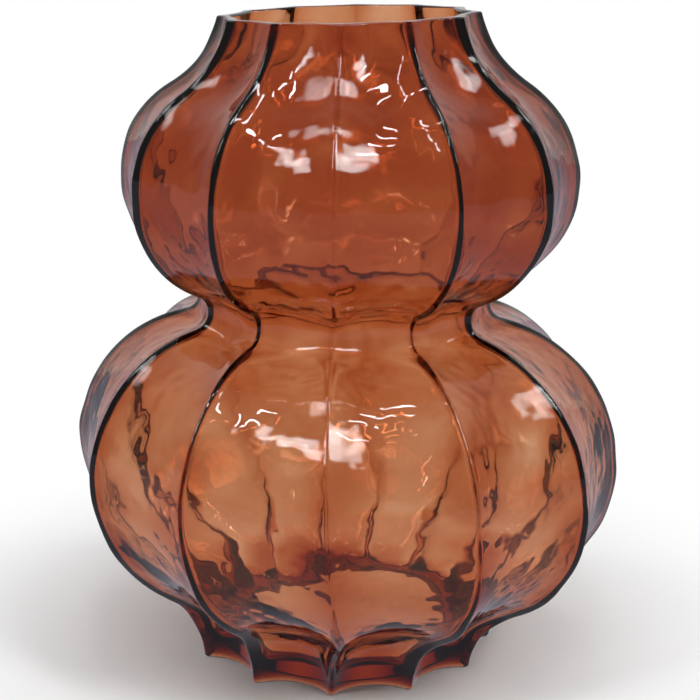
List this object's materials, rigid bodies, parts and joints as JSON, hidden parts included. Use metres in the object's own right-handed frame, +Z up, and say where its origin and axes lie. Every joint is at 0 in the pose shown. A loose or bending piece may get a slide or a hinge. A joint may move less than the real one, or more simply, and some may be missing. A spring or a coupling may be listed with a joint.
{
  "type": "vase",
  "caption": "Double-gourd vase of clear amber-brown glass with sharp ridges, hollow flutes, a pinched waist, a flat ground rim and a scalloped foot, for cut flowers.",
  "frame": {"origin": "centre of the foot on the surface that the vase stands on", "axes": "+Z up along the vase's axis; -Y is the front, where one ridge stands; +X to the right seen from the front"},
  "size_m": [0.2124, 0.2124, 0.25],
  "materials": {
    "amber_glass": "clear polished amber-brown glass"
  },
  "bodies": {
    "root": {"foot": "amber_glass", "base": "amber_glass", "lower_belly": "amber_glass", "lower_shoulder": "amber_glass", "waist": "amber_glass", "upper_belly": "amber_glass", "upper_shoulder": "amber_glass", "neck": "amber_glass", "rim": "amber_glass"}
  },
  "joints": []
}
